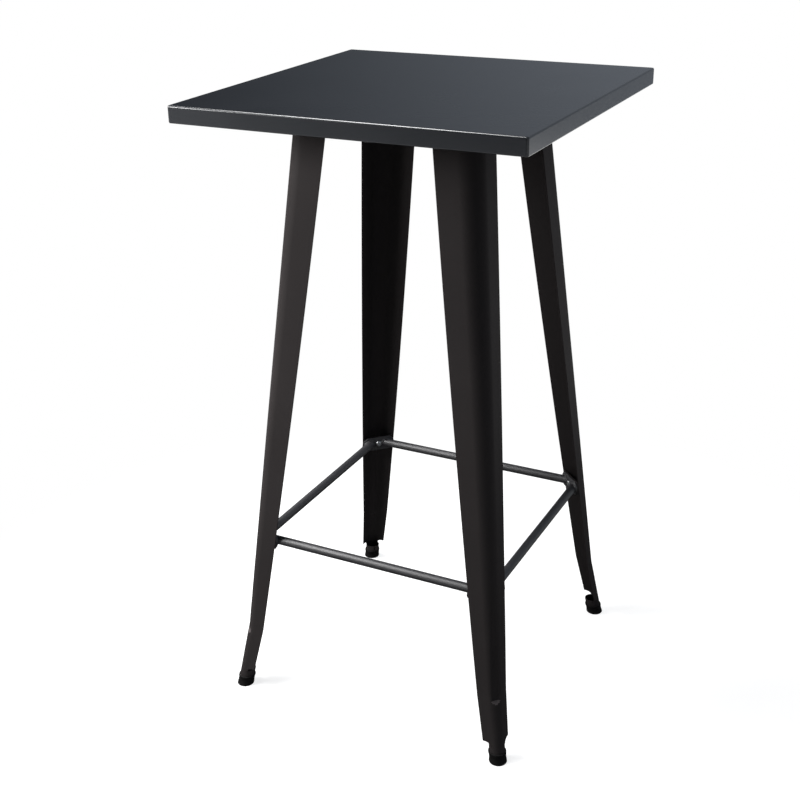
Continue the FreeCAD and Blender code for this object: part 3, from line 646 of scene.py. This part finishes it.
def leg_tree():
    """The press work of a leg: sinks its groove, then turns it to its corner."""
    numbers = ("Groove depth", "Groove radius", "End radius", "Groove foot", "Groove top",
               "Bend radius", "Softness", "Turn")
    tree, given = geometry_tree("Pressed leg", [(label, "Float") for label in numbers]
                                + [("Finish", "Material")])
    place = add(tree, "ShaderNodeSeparateXYZ",
                {0: add(tree, "GeometryNodeInputPosition").outputs[0]})
    # Depth of the crest of the punch at this height, before its round end.
    line = add(tree, "ShaderNodeMapRange",
               {"Value": place.outputs["Z"], "From Min": given["Groove foot"],
                "From Max": given["Groove top"], "To Min": given["Groove depth"], "To Max": 0.0},
               clamp=False)
    steps = (
        # The punch ends in a ball: the height of its middle, and its rise at a point below that.
        ("stand-off", "SUBTRACT", "End radius", "Groove depth"),
        ("square", "MULTIPLY", "End radius", "End radius"),
        ("stand-off square", "MULTIPLY", "stand-off", "stand-off"),
        ("print square", "SUBTRACT", "square", "stand-off square"),
        ("print", "SQRT", "print square"),
        ("ball", "ADD", "Groove foot", "print"),
        ("below", "SUBTRACT", "ball", "height"),
        ("past", "MAXIMUM", "below", 0.0),
        ("past square", "MULTIPLY", "past", "past"),
        ("left", "SUBTRACT", "square", "past square"),
        ("left over", "MAXIMUM", "left", 0.0),
        ("drop", "SQRT", "left over"),
        ("rise", "SUBTRACT", "End radius", "drop"),
        # The punch and the bend curve away from each other across the leg.
        ("across square", "MULTIPLY", "across", "across"),
        ("punch side", "DIVIDE", "across square", "Groove radius"),
        ("bend side", "DIVIDE", "across square", "Bend radius"),
        ("sides", "ADD", "punch side", "bend side"),
        ("half sides", "MULTIPLY", "sides", 0.5),
        ("crest", "SUBTRACT", "line", "rise"),
        ("sunk", "SUBTRACT", "crest", "half sides"),
        ("soft", "SMOOTH_MAX", "sunk", 0.0, "Softness"),
        # Above the groove nothing is pressed.
        ("below top", "LESS_THAN", "height", "Groove top"),
        ("depth", "MULTIPLY", "soft", "below top"),
        ("inward", "MULTIPLY", "depth", -1.0))
    known = {label: given[label] for label in numbers}
    known.update(height=place.outputs["Z"], across=place.outputs["Y"], line=line.outputs[0])
    for name, operation, *terms in steps:
        links = {k: known.get(term, term) for k, term in enumerate(terms)}
        known[name] = add(tree, "ShaderNodeMath", links, operation=operation).outputs[0]
    shift = add(tree, "ShaderNodeCombineXYZ", {"X": known["inward"]})
    pressed = add(tree, "GeometryNodeSetPosition",
                  {"Geometry": given["Geometry"], "Offset": shift.outputs[0]})
    angles = add(tree, "ShaderNodeCombineXYZ", {"Z": given["Turn"]})
    euler = add(tree, "FunctionNodeEulerToRotation", {0: angles.outputs[0]})
    turned = add(tree, "GeometryNodeTransform",
                 {"Geometry": pressed.outputs[0], "Rotation": euler.outputs[0]})
    return end_tree(tree, turned.outputs[0], given["Finish"])


class PUBTABLE_OT_legs(bpy.types.Operator):
    """Fold, press and roll the four legs"""
    bl_idname = "pubtable.legs"
    bl_label = "Legs"

    def execute(self, context):
        s = context.scene.table_sizes
        points, faces = LegForm(s).points_and_faces()
        tree = leg_tree()
        for corner, turn in CORNERS.items():
            item = merged(new_object("pressed_leg_" + corner, points, faces))
            run_tree(item, tree, groove_depth=s.groove_depth, groove_radius=s.groove_round,
                     end_radius=s.groove_end, groove_foot=s.groove_foot, groove_top=s.groove_top,
                     bend_radius=s.kick_round, softness=0.5 * MM, turn=math.radians(turn),
                     finish=FINISHES["leg_powder_coat"])
            wall = item.modifiers.new("sheet", "SOLIDIFY")
            wall.thickness = s.leg_sheet
            wall.offset = -1.0
            wall.use_even_offset = True
            softened(item, 0.35 * MM, angle=60)
            evenly_shaded(item)
            self.mark(baked(item), turn, s)
            finished(item, "leg_powder_coat", "leg_" + corner)
        return {"FINISHED"}

    def mark(self, item, turn, s):
        """Mark where the powder coat paints light: painted shade on faces within the fold, and a
        painted highlight on the groove's end.
        """
        outward = spin(turn) @ Vector((1, 0, 0))
        # How far a face's normal points out or up, from -1 to 1, to count as each.
        turned_in, turned_out, turned_up = -0.3, 0.2, 0.3
        # Painted shade goes on faces that turn in to the fold, above the flanges' ends.
        inside = item.data.attributes.new("inside", "FLOAT", "FACE")
        # Painted highlight goes on upward-facing faces at the lower end of the groove.
        thin = item.data.attributes.new("thin", "FLOAT", "FACE")
        low, high = s.groove_foot - 3 * MM, s.groove_foot + s.groove_end
        for face, dark, glint in zip(item.data.polygons, inside.data, thin.data):
            facing = face.normal.dot(outward)
            dark.value = float(facing < turned_in and face.center.z > s.flange_end)
            glint.value = float(facing > turned_out and face.normal.z > turned_up
                               and low < face.center.z < high)


# Rubber feet ------------------------------------------------------------------------------

def corners_tree():
    """Sets a corner piece round the table's corners."""
    tree, given = geometry_tree("Round the corners", [
        ("Count", "Int"), ("First turn", "Float"), ("Finish", "Material")])
    places = add(tree, "GeometryNodePoints", {"Count": given["Count"], "Position": (0, 0, 0)})
    index = add(tree, "GeometryNodeInputIndex")
    step = add(tree, "ShaderNodeMath", {0: 2 * math.pi, 1: given["Count"]}, operation="DIVIDE")
    turn = add(tree, "ShaderNodeMath", {0: index.outputs[0], 1: step.outputs[0],
                                        2: given["First turn"]}, operation="MULTIPLY_ADD")
    angles = add(tree, "ShaderNodeCombineXYZ", {"Z": turn.outputs[0]})
    euler = add(tree, "FunctionNodeEulerToRotation", {0: angles.outputs[0]})
    copies = add(tree, "GeometryNodeInstanceOnPoints",
                 {"Points": places.outputs[0], "Instance": given["Geometry"],
                  "Rotation": euler.outputs[0]})
    return end_tree(tree, copies.outputs[0], given["Finish"])


class PUBTABLE_OT_feet(bpy.types.Operator):
    """Mould the rubber feet: leaning cups with a rolled rim and a rounded tread"""
    bl_idname = "pubtable.feet"
    bl_label = "Rubber feet"

    def execute(self, context):
        s = context.scene.table_sizes
        form = LegForm(s)
        bore = s.foot_tube / 2 + 0.1 * MM
        wall = bore + s.rubber_wall
        waist = wall - 0.7 * MM
        top = s.rubber_height
        round_foot, rim, collar = 1.4 * MM, 0.9 * MM, top - 3.8 * MM
        profile = [(bore - 5 * MM, 0.6 * MM), (bore - 4 * MM, 0.0), (wall - round_foot, 0.0),
                   *arc((wall - round_foot, round_foot), round_foot, -60, 0, 3),
                   (waist, 8 * MM), (waist, collar - MM), (wall - 0.1 * MM, collar),
                   *arc((wall - rim, top - rim), rim, 0, 90, 4),
                   (bore, top), (bore, s.rubber_floor)]
        item = rings_object("rubber_cups", [
            round_ring(radius, height, 40, form.tube_centre(height)[:2])
            for radius, height in profile])
        run_tree(item, corners_tree(), count=4, first_turn=math.radians(45),
                 finish=FINISHES["foot_rubber"])
        finished(baked(item), "foot_rubber", "rubber_feet")
        return {"FINISHED"}


# Footrest ---------------------------------------------------------------------------------

def bead_tree():
    """A rippled weld bead along the edges of a mesh."""
    tree, given = geometry_tree("Weld bead", [
        ("Radius", "Float"), ("Pitch", "Float"), ("Seed", "Float"), ("Finish", "Material")])
    path = add(tree, "GeometryNodeMeshToCurve", {"Mesh": given["Geometry"]})
    step = add(tree, "ShaderNodeMath", {0: given["Pitch"], 1: 0.25}, operation="MULTIPLY")
    even = add(tree, "GeometryNodeResampleCurve",
               {"Curve": path.outputs[0], "Length": step.outputs[0]}, mode="LENGTH")
    run = add(tree, "GeometryNodeSplineParameter")
    turns = add(tree, "ShaderNodeMath", {0: run.outputs["Length"], 1: given["Pitch"]},
                operation="DIVIDE")
    phase = add(tree, "ShaderNodeMath", {0: turns.outputs[0], 1: 2 * math.pi},
                operation="MULTIPLY")
    wave = add(tree, "ShaderNodeMath", {0: phase.outputs[0]}, operation="SINE")
    place = add(tree, "GeometryNodeInputPosition")
    rough = add(tree, "ShaderNodeTexNoise",
                {"Vector": place.outputs[0], "W": given["Seed"], "Scale": 1 / (6 * MM),
                 "Detail": 2.0}, noise_dimensions="4D")
    # The bead swells a little with each ripple, and unevenly along its run.
    ripple = add(tree, "ShaderNodeMath", {0: wave.outputs[0], 1: 0.09, 2: 0.7},
                 operation="MULTIPLY_ADD")
    swell = add(tree, "ShaderNodeMath", {0: rough.outputs["Fac"], 1: 0.6, 2: ripple.outputs[0]},
                operation="MULTIPLY_ADD")
    profile = add(tree, "GeometryNodeCurvePrimitiveCircle",
                  {"Resolution": 10, "Radius": given["Radius"]})
    bead = add(tree, "GeometryNodeCurveToMesh",
               {"Curve": even.outputs[0], "Profile Curve": profile.outputs[0],
                "Fill Caps": True, "Scale": swell.outputs[0]})
    smooth = add(tree, "GeometryNodeSetShadeSmooth", {"Geometry": bead.outputs[0]})
    return end_tree(tree, smooth.outputs[0], given["Finish"])


def rod_seat():
    """The rods' distance from the middle, x + y on the faces that their ends meet, height."""
    low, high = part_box("footrest_rod_back")
    return (low.y + high.y) / 2, high.x + low.y, (low.z + high.z) / 2


class PUBTABLE_OT_footrest(bpy.types.Operator):
    """Draw the footrest rods, mitred on the corner plates, and their weld beads"""
    bl_idname = "pubtable.footrest"
    bl_label = "Footrest"

    def execute(self, context):
        s = context.scene.table_sizes
        reach, corner, height = rod_seat()
        radius = s.rod_diameter / 2
        ring = circle(radius, 40, (reach, height))
        for side, turn in SIDES.items():
            ends = [[spin(turn) @ Vector((x, hand * (corner - x), z)) for x, z in ring]
                    for hand in (1, -1)]
            item = rings_object("rod_" + side, ends, sharp=40)
            item.data.materials.append(FINISHES["footrest_powder_coat"])
            finished(item, "footrest_powder_coat", "footrest_rod_" + side)
        self.beads(s, reach, corner, height, radius)
        return {"FINISHED"}

    def beads(self, s, reach, corner, height, radius):
        """A bead round each rod's end, sunk a little into the rod and its corner plate."""
        points, edges = [], []
        steps = 48
        ring = circle(radius + 0.25 * s.bead, steps, (reach, height))
        for turn in SIDES.values():
            for hand in (-1, 1):
                first = len(points)
                points += [spin(turn) @ Vector((x, hand * (corner - x - 0.2 * s.bead), z))
                           for x, z in ring]
                edges += [(first + k, first + (k + 1) % steps) for k in range(steps)]
        item = new_object("rod_welds", points, [], edges)
        run_tree(item, bead_tree(), radius=s.bead, pitch=s.bead_pitch, seed=3.0,
                 finish=FINISHES["footrest_powder_coat"])
        finished(baked(item), "footrest_powder_coat")


# Plates -----------------------------------------------------------------------------------

def rounded(corners):
    """An outline with rounded corners, from (across, up, radius) taken anticlockwise."""
    points, steps = [], 8
    for k, (x, y, radius) in enumerate(corners):
        corner = Vector((x, y))
        back = (Vector(corners[k - 1][:2]) - corner).normalized()
        ahead = (Vector(corners[(k + 1) % len(corners)][:2]) - corner).normalized()
        half = back.angle(ahead) / 2
        centre = corner + (back + ahead).normalized() * radius / math.sin(half)
        start = corner + back * radius / math.tan(half) - centre
        turn = math.pi - 2 * half
        points += [centre + Matrix.Rotation(turn * step / steps, 2) @ start
                   for step in range(steps + 1)]
    return points


class PUBTABLE_OT_plates(bpy.types.Operator):
    """Cut the upright plates at the corners: the footrest's, and those across the legs"""
    bl_idname = "pubtable.plates"
    bl_label = "Plates"

    def execute(self, context):
        s = context.scene.table_sizes
        _, corner, height = rod_seat()
        # From the middle of the table square to a corner plate's inner face.
        face = corner / math.sqrt(2)
        half = s.plate_height / 2
        wide = s.plate_width / 2
        outline = [(x, y, s.plate_round)
                   for x, y in ((wide, half), (-wide, half), (-wide, -half), (wide, -half))]
        self.plates("corner_plates", outline, face, s.plate_sheet, height,
                    "footrest_powder_coat", "footrest_plate_")
        seat = face + s.plate_sheet
        upper, lower = (self.half_width(height + z, seat + s.bridge_sheet) for z in (half, -half))
        outline = [(upper, half, 0.5 * MM), (-upper, half, 0.5 * MM),
                   (-lower, -half, s.bridge_round), (lower, -half, s.bridge_round)]
        self.plates("bridge_plates", outline, seat, s.bridge_sheet, height,
                    "leg_powder_coat", "bridge_plate_")
        return {"FINISHED"}

    def half_width(self, height, reach):
        """How far a bridge plate reaches across at a height, read from its CAD piece."""
        back = spin(-CORNERS["back_right"])
        points = [back @ v.co for v in frame["nodes"]["bridge_plate_back_right"].data.vertices]
        return max(p.y for p in points if abs(p.z - height) < 0.1 * MM and p.x < reach - MM)

    def plates(self, name, outline, face, sheet, height, finish, nodes):
        """One plate with its inner face at a distance, set round the four corners."""
        item = rings_object(name, [[Vector((x, p.x, height + p.y)) for p in rounded(outline)]
                                   for x in (face, face + sheet)], sharp=40)
        softened(item, 0.4 * MM)
        run_tree(item, corners_tree(), count=4, first_turn=math.radians(45),
                 finish=FINISHES[finish])
        finished(baked(item), finish, *(nodes + corner for corner in CORNERS))


# Screws, washers and nuts -----------------------------------------------------------------

def hex_ring(flats, height, sides):
    """A level hexagon given across its flats, its points spaced by angle like a circle's."""
    points = []
    for x, y in circle(1.0, sides):
        off = (math.atan2(y, x) + math.pi / 6) % (math.pi / 3) - math.pi / 6
        points.append(Vector((x, y, 0)) * flats / 2 / math.cos(off) + Vector((0, 0, height)))
    return points


def button_screw(s):
    """A domed button-head screw with a hex socket, its head above the origin."""
    shank, rim, crown = s.thread / 2, s.head_width / 2, s.head_height
    # The dome runs from just over the rim to a small flat round the socket.
    flat, low, socket, sides = 2.9 * MM, 0.3 * MM, 4 * MM, 36
    profile = [(shank - 0.4 * MM, -SCREW_LENGTH), (shank, 0.5 * MM - SCREW_LENGTH), (shank, 0.0),
               (rim - 0.2 * MM, 0.0), (rim, 0.25 * MM)]
    profile += [(flat + (rim - flat) * x, low + (crown - low) * y)
                for x, y in arc((0, 0), 1.0, 12, 90, 6)]
    profile.append((2.55 * MM, crown))
    rings = [round_ring(radius, height, sides) for radius, height in profile]
    rings += [hex_ring(socket, crown - depth, sides) for depth in (0.3 * MM, 2 * MM)]
    return rings_object("button_screw", rings, sharp=38)


def hex_nut(s, top=0.0):
    """A hex nut with chamfered corners, from a height down, open for its thread."""
    flats, bore = s.nut_width, s.thread / 2 + 0.05 * MM
    face, chamfer, low, sides = flats / 2 - 0.2 * MM, 0.7 * MM, top - NUT_HEIGHT, 48
    rings = [round_ring(bore, low, sides), round_ring(face, low, sides),
             hex_ring(flats, low + chamfer, sides), hex_ring(flats, top - chamfer, sides),
             round_ring(face, top, sides), round_ring(bore, top, sides)]
    return rings_object("hex_nut", rings, sharp=25, looped=True)


def plain_washer(s, top):
    """A plain washer, its upper face at a height."""
    outer, bore, edge, low = s.head_width / 2, s.thread / 2 + 0.2 * MM, 0.2 * MM, top - WASHER
    profile = [(bore, low), (outer - edge, low), (outer, low + edge), (outer, top - edge),
               (outer - edge, top), (bore, top)]
    rings = [round_ring(radius, height, 36) for radius, height in profile]
    return rings_object("washer", rings, sharp=30, looped=True)


def joined(name, items):
    """One object from several, which go."""
    work = bmesh.new()
    for item in items:
        work.from_mesh(item.data)
    mesh = bpy.data.meshes.new(name)
    work.to_mesh(mesh)
    work.free()
    for item in items:
        bpy.data.objects.remove(item)
    whole = bpy.data.objects.new(name, mesh)
    bpy.context.scene.collection.objects.link(whole)
    return whole


def fixings_tree():
    """Sets a fixing at each point of a mesh, along that point's own axis."""
    tree, given = geometry_tree("Fixings", [("Fixing", "Object"), ("Finish", "Material")])
    piece = add(tree, "GeometryNodeObjectInfo", {"Object": given["Fixing"]})
    axis = add(tree, "GeometryNodeInputNamedAttribute", data_type="FLOAT_VECTOR")
    axis.inputs["Name"].default_value = "axis"
    turn = add(tree, "FunctionNodeAlignRotationToVector", {"Vector": axis.outputs[0]}, axis="Z")
    copies = add(tree, "GeometryNodeInstanceOnPoints",
                 {"Points": given["Geometry"], "Instance": piece.outputs["Geometry"],
                  "Rotation": turn.outputs[0]})
    return end_tree(tree, copies.outputs[0], given["Finish"])


def set_fixings(name, template, seats, tree, *nodes):
    """Set a copy of a fixing at each seat, a pair of place and axis."""
    item = new_object(name, [seat[0] for seat in seats], [])
    axes = item.data.attributes.new("axis", "FLOAT_VECTOR", "POINT")
    for value, (_, axis) in zip(axes.data, seats):
        value.vector = axis
    run_tree(item, tree, fixing=template, finish=FINISHES["zinc_plated_steel"])
    baked(item)
    bpy.data.objects.remove(template)
    finished(item, "zinc_plated_steel", *nodes)


class PUBTABLE_OT_fixings(bpy.types.Operator):
    """Set the footrest's screws and nuts, and the bolts that hold the legs to the frame"""
    bl_idname = "pubtable.fixings"
    bl_label = "Screws and bolts"

    def execute(self, context):
        s = context.scene.table_sizes
        tree = fixings_tree()
        _, corner, height = rod_seat()
        face = corner / math.sqrt(2)
        behind = face + s.plate_sheet + s.bridge_sheet
        screws, nuts = ([(spin(turn) @ Vector((reach, 0, height)), spin(turn) @ Vector((-1, 0, 0)))
                         for turn in CORNERS.values()] for reach in (face, behind))
        set_fixings("footrest_button_screws", button_screw(s), screws, tree, "footrest_screws")
        set_fixings("footrest_hex_nuts", hex_nut(s), nuts, tree, "footrest_nuts")
        bolt = joined("leg_bolt", [button_screw(s), plain_washer(s, -BOLT_GRIP),
                                   hex_nut(s, -BOLT_GRIP - WASHER)])
        set_fixings("leg_bolts", bolt, self.leg_seats(s), tree)
        return {"FINISHED"}

    def leg_seats(self, s):
        """Two bolts through each leg flange, square to it, into the frame rail behind."""
        form = LegForm(s)
        lean = math.cos(form.half_angle) * form.out + Vector((0, math.sin(form.half_angle), 0))
        touch = form.start + s.kick_round * lean
        top = form.upper(1.0)
        upper_touch = top.centre + top.radius * lean
        line = upper_touch - touch
        edge = form.flange_point(top, 1, form.edge(top)) - upper_touch
        normal = edge.cross(line).normalized()
        normal = normal if normal.x > 0 else -normal
        seats = []
        for height in BOLT_HEIGHTS:
            along = (height - touch.z) / line.z
            seat = touch + along * line
            seat += edge.normalized() * BOLT_SHARE * form.edge(form.upper(min(along, 1.0)))
            seat.z = height
            seats.append(seat)
        # The other flange is the mirror image.
        flips = [Vector((1, hand, 1)) for hand in (1, -1)]
        return [(spin(turn) @ (seat * flip), spin(turn) @ (normal * flip))
                for turn in CORNERS.values() for seat in seats for flip in flips]


# Stage ------------------------------------------------------------------------------------

class PUBTABLE_OT_stage(bpy.types.Operator):
    """Set up floor, backdrop, soft light and camera"""
    bl_idname = "pubtable.stage"
    bl_label = "Stage"

    def execute(self, context):
        context.scene.view_settings.view_transform = "Standard"
        self.floor()
        self.light(context)
        self.camera(context)
        return {"FINISHED"}

    def floor(self):
        """White paper that keeps a soft shadow round the table and fades to plain white."""
        half = 4.0
        floor = new_object("floor", [(-half, -half, 0), (half, -half, 0), (half, half, 0),
                                     (-half, half, 0)], [(0, 1, 2, 3)])
        tree, place = new_material("studio_paper")
        ray = add(tree, "ShaderNodeLightPath")
        camera = ray.outputs["Is Camera Ray"]
        mirror = add(tree, "ShaderNodeMath", {0: ray.outputs["Is Glossy Ray"],
                                              1: ray.outputs["Is Transmission Ray"]},
                     operation="MAXIMUM")
        paper = add(tree, "ShaderNodeBsdfDiffuse", {"Color": linear("#b4b4b4")})
        lift = add(tree, "ShaderNodeMath", {0: camera, 1: 0.75}, operation="MULTIPLY")
        glow = add(tree, "ShaderNodeEmission", {"Strength": lift.outputs[0]})
        near = add(tree, "ShaderNodeAddShader", {0: paper.outputs[0], 1: glow.outputs[0]})
        away = add(tree, "ShaderNodeVectorMath", {0: place}, operation="LENGTH")
        # Painted reflection: in the steel the paper shows as a glow, dim under the table as
        # painted shade and bright beyond as the lit studio.
        far = add(tree, "ShaderNodeMapRange",
                  {"Value": away.outputs["Value"], "From Min": 0.8, "From Max": 1.8,
                   "To Min": 0.05, "To Max": 1.0}, interpolation_type="SMOOTHSTEP")
        painted_reflection = add(tree, "ShaderNodeEmission", {"Strength": far.outputs[0]})
        seen = add(tree, "ShaderNodeMixShader",
                   {"Fac": mirror.outputs[0], 1: near.outputs[0], 2: painted_reflection.outputs[0]})
        white = add(tree, "ShaderNodeEmission", {"Strength": 1.0})
        fade = add(tree, "ShaderNodeMapRange",
                   {"Value": away.outputs["Value"], "From Min": 0.5, "From Max": 1.1},
                   interpolation_type="SMOOTHSTEP")
        clear = add(tree, "ShaderNodeMath", {0: fade.outputs[0], 1: camera},
                    operation="MULTIPLY")
        mix = add(tree, "ShaderNodeMixShader",
                  {"Fac": clear.outputs[0], 1: seen.outputs[0], 2: white.outputs[0]})
        add(tree, "ShaderNodeOutputMaterial", {"Surface": mix.outputs[0]})
        floor.data.materials.append(FINISHES["studio_paper"])

    def light(self, context):
        """A room that is brighter on one side, and three soft boxes."""
        stage = context.scene.table_stage
        world = bpy.data.worlds.new("studio")
        context.scene.world = world
        world.use_nodes = True
        tree = world.node_tree
        tree.nodes.clear()
        way = add(tree, "ShaderNodeTexCoord").outputs["Generated"]
        side = add(tree, "ShaderNodeVectorMath", {0: way, 1: (0.9, 0.43, 0.0)},
                   operation="DOT_PRODUCT")
        level = add(tree, "ShaderNodeMapRange",
                    {"Value": side.outputs["Value"], "From Min": -0.3, "From Max": 0.35,
                     "To Min": stage.room_dark, "To Max": stage.room_light},
                    interpolation_type="SMOOTHSTEP")
        ray = add(tree, "ShaderNodeLightPath")
        room = add(tree, "ShaderNodeBackground", {"Color": linear("#e7f1ff"),
                                                  "Strength": level.outputs[0]})
        white = add(tree, "ShaderNodeBackground", {"Color": linear("#ffffff"), "Strength": 1.0})
        mix = add(tree, "ShaderNodeMixShader", {"Fac": ray.outputs["Is Camera Ray"],
                                                1: room.outputs[0], 2: white.outputs[0]})
        add(tree, "ShaderNodeOutputWorld", {"Surface": mix.outputs[0]})
        for name, place, aim, size, power in (
                ("overhead", (-1.5, -0.4, 4.1), (0.0, 0.0, 1.0), (2.2, 1.0), stage.overhead),
                ("key", (-1.3, -0.9, 1.42), (0.0, -0.1, 0.7), (1.1, 0.5), stage.key),
                ("fill", (1.1, 1.7, 1.3), (0.0, 0.0, 0.6), (1.2, 1.2), stage.fill)):
            lamp = bpy.data.lights.new(name, "AREA")
            lamp.shape = "RECTANGLE"
            lamp.size, lamp.size_y = size
            lamp.energy = power
            item = bpy.data.objects.new(name, lamp)
            item.location = place
            look = Vector(aim) - item.location
            item.rotation_euler = look.to_track_quat("-Z", "Y").to_euler()
            item.visible_glossy = name != "fill"  # it only lifts the far sides
            context.scene.collection.objects.link(item)

    def camera(self, context):
        """The camera: its place, its direction and a slight roll."""
        lens = bpy.data.cameras.new("camera")
        lens.sensor_width = 36.0
        lens.lens = context.scene.table_stage.lens
        lens.shift_x = 0.0224
        item = bpy.data.objects.new("camera", lens)
        azimuth, elevation, roll = (math.radians(a) for a in (27.71, 23.95, -1.18))
        item.rotation_mode = "QUATERNION"
        look = Vector((-math.sin(azimuth) * math.cos(elevation),
                       math.cos(azimuth) * math.cos(elevation), -math.sin(elevation)))
        item.location = (0.916, -1.915, 1.478)
        item.rotation_quaternion = look.to_track_quat("-Z", "Y") @ Quaternion((0, 0, 1), roll)
        context.scene.collection.objects.link(item)
        context.scene.camera = item


# Add-on -----------------------------------------------------------------------------------

STEPS = (PUBTABLE_OT_finishes, PUBTABLE_OT_top, PUBTABLE_OT_legs, PUBTABLE_OT_feet,
         PUBTABLE_OT_footrest, PUBTABLE_OT_plates, PUBTABLE_OT_fixings, PUBTABLE_OT_stage)


class PUBTABLE_PT_panel(bpy.types.Panel):
    """The steps of the table, with their settings"""
    bl_idname = "PUBTABLE_PT_panel"
    bl_label = "Pub Table"
    bl_space_type = "VIEW_3D"
    bl_region_type = "UI"
    bl_category = "Pub Table"

    def draw(self, context):
        for step in STEPS:
            self.layout.operator(step.bl_idname)
        for group in (context.scene.table_sizes, context.scene.table_finish,
                      context.scene.table_stage):
            box = self.layout.box()
            for name in group.__annotations__:
                box.prop(group, name)


SETTINGS = {"table_sizes": TableSizes, "table_finish": TableFinish, "table_stage": TableStage}


def register():
    for item in (*SETTINGS.values(), *STEPS, PUBTABLE_PT_panel):
        bpy.utils.register_class(item)
    for name, group in SETTINGS.items():
        setattr(bpy.types.Scene, name, bpy.props.PointerProperty(type=group))


def unregister():
    for name in SETTINGS:
        delattr(bpy.types.Scene, name)
    for item in (PUBTABLE_PT_panel, *reversed(STEPS), *SETTINGS.values()):
        bpy.utils.unregister_class(item)


def main():
    register()
    bpy.ops.pubtable.finishes()
    bpy.ops.pubtable.top()
    bpy.ops.pubtable.legs()
    bpy.ops.pubtable.feet()
    bpy.ops.pubtable.footrest()
    bpy.ops.pubtable.plates()
    bpy.ops.pubtable.fixings()
    bpy.ops.pubtable.stage()


if __name__ == "__main__":
    main()
